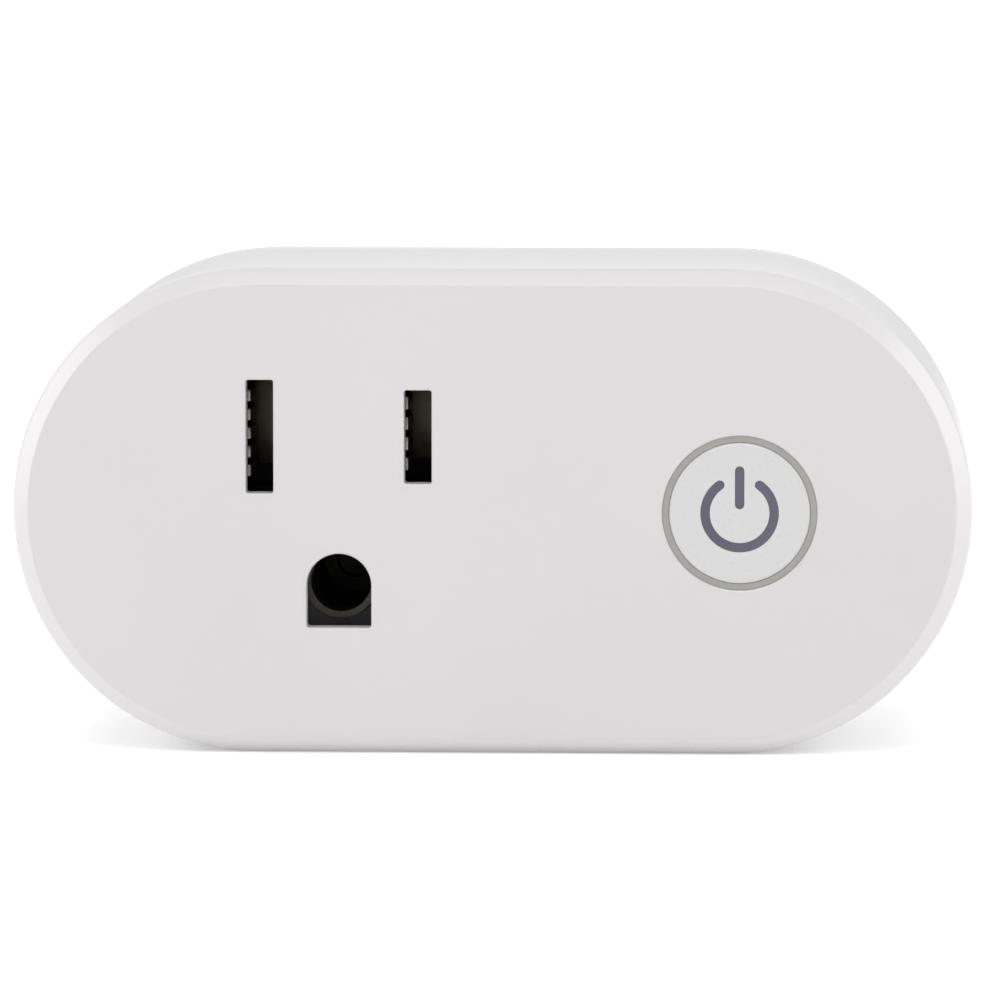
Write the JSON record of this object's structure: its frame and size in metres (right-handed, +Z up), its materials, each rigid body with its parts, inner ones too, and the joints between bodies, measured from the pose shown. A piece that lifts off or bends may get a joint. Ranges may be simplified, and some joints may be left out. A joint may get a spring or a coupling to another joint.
{
  "type": "smart plug",
  "caption": "Plug-in smart switch with an obround body, a grounded outlet beside a round flush power button, and flat blades with a ground pin at the back.",
  "frame": {"origin": "middle of the whole object in x and y, on the flat lower side that it stands on", "axes": "+X to the right as seen from the front, along the obround's length; +Y from the front face to the wall, along the blades; +Z up"},
  "size_m": [0.077, 0.0506, 0.039],
  "materials": {
    "shell_white": "fine matte",
    "button_white": "satin",
    "icon_grey": "satin",
    "light_pipe": "translucent",
    "label_silver": "film",
    "carrier_black": "matte",
    "contact_brass": "stamped",
    "blade_nickel": "nickel plated",
    "screw_steel": "zinc",
    "board_green": "solder mask",
    "radio_blue": "solder mask",
    "sheet_amber": "film",
    "relay_blue": "moulded",
    "relay_dark": "moulded",
    "bobbin_cream": "moulded",
    "copper": "enamelled wire",
    "iron": "plated",
    "contact_alloy": "stamped",
    "tinned": "tinned",
    "can_black": "sleeve",
    "can_blue": "sleeve",
    "film_yellow": "moulded",
    "varistor_blue": "dipped",
    "fuse_brown": "moulded",
    "ferrite": "ferrite",
    "chip_black": "moulded",
    "chip_tan": "ceramic",
    "shield_steel": "tinned",
    "plunger_cream": "moulded",
    "led_clear": "clear",
    "wire_black": "insulation",
    "wire_red": "insulation",
    "wire_white": "insulation"
  },
  "bodies": {
    "housing": {"front_cover": "shell_white", "rear_cover": "shell_white", "button_light_ring": "light_pipe", "rear_label": "label_silver", "contact_carrier": "carrier_black", "carrier_back": "carrier_black", "blade_holder": "carrier_black", "neutral_contact": "contact_brass", "line_contact": "contact_brass", "ground_contact": "contact_brass", "neutral_blade": "blade_nickel", "line_blade": "blade_nickel", "ground_pin": "blade_nickel", "cover_screws": "screw_steel", "holder_screws": "screw_steel", "board_screws": "screw_steel", "control_screws": "screw_steel", "main_board": "board_green", "control_board": "board_green", "radio_board": "radio_blue", "insulation_sheet": "sheet_amber", "relay_case": "relay_blue", "relay_base": "relay_dark", "relay_bobbin": "bobbin_cream", "relay_coil": "copper", "inductor_coil": "copper", "relay_core": "iron", "relay_yoke": "iron", "relay_fixed_contact": "contact_alloy", "relay_pins": "tinned", "switch_terminals": "tinned", "radio_antenna": "tinned", "input_capacitor": "can_black", "output_capacitor": "can_blue", "film_capacitor": "film_yellow", "varistor": "varistor_blue", "fuse": "fuse_brown", "inductor_core": "ferrite", "bridge_rectifier": "chip_black", "power_chip": "chip_black", "board_header": "chip_black", "switch_base": "chip_black", "chip_parts": "chip_tan", "radio_shield": "shield_steel", "switch_cover": "shield_steel", "switch_dome": "shield_steel", "status_leds": "led_clear", "line_lead": "wire_black", "load_lead": "wire_red", "neutral_lead": "wire_white"},
    "button": {"power_button": "button_white", "power_icon": "icon_grey"},
    "switch_plunger": {"switch_plunger": "plunger_cream"},
    "armature": {"relay_armature": "iron", "relay_moving_contact": "contact_alloy"}
  },
  "joints": [
    {"name": "button_press", "type": "slide", "parent": "housing", "child": "button", "axis": [0, 1, 0], "range_m": [0, 0.0003], "stiffness_N_per_m": 4000},
    {"name": "plunger_press", "type": "slide", "parent": "housing", "child": "switch_plunger", "axis": [0, 1, 0], "range_m": [0, 0.0003]},
    {"name": "relay_pull_in", "type": "hinge", "parent": "housing", "child": "armature", "pos_m": [0.0046, -0.0144, 0.0086], "axis": [0, 0, 1], "range_deg": [0, 3], "stiffness_Nm_per_rad": 0.04}
  ],
  "couplings": [
    {"joint": "plunger_press", "follows": "button_press", "ratio": 1}
  ]
}
